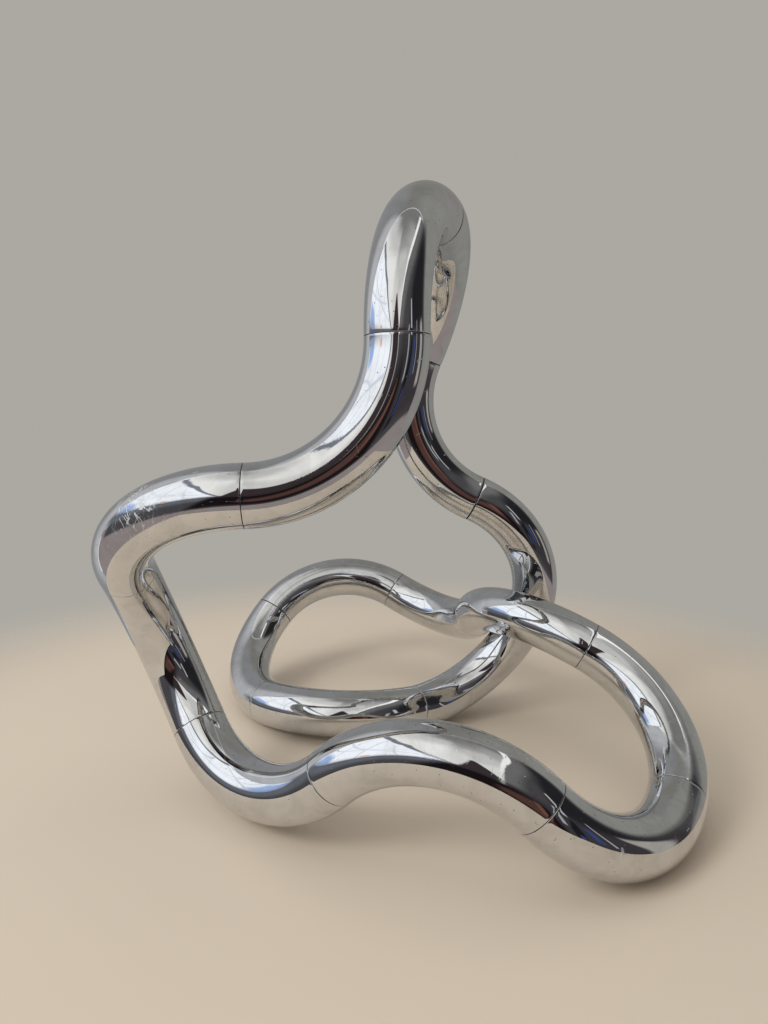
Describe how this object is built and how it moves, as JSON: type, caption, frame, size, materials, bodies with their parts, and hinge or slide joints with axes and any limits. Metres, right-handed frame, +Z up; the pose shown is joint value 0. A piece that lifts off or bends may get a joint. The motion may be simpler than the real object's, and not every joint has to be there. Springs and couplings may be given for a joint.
{
  "type": "abstract metal sculpture",
  "caption": "Tabletop abstract sculpture: a closed ring of mirror-chromed quarter-turn tube elbows, twisted into a tall standing knot.",
  "frame": {"origin": "on the ground, under the middle of the ring's box", "axes": "+Z up, -Y towards the viewer of the picture, +X to the viewer's right"},
  "size_m": [0.3252, 0.3252, 0.3321],
  "materials": {
    "chrome_plate": "mirror-bright chrome plate with a thin bluish-white haze, small pits, dust and hairline scratches"
  },
  "bodies": {
    "root": {"elbow_01": "chrome_plate", "elbow_02": "chrome_plate", "elbow_03": "chrome_plate", "elbow_04": "chrome_plate", "elbow_05": "chrome_plate", "elbow_06": "chrome_plate", "elbow_07": "chrome_plate", "elbow_08": "chrome_plate", "elbow_09": "chrome_plate", "elbow_10": "chrome_plate", "elbow_11": "chrome_plate", "elbow_12": "chrome_plate", "elbow_13": "chrome_plate", "elbow_14": "chrome_plate", "elbow_15": "chrome_plate", "elbow_16": "chrome_plate", "elbow_17": "chrome_plate"}
  },
  "joints": []
}
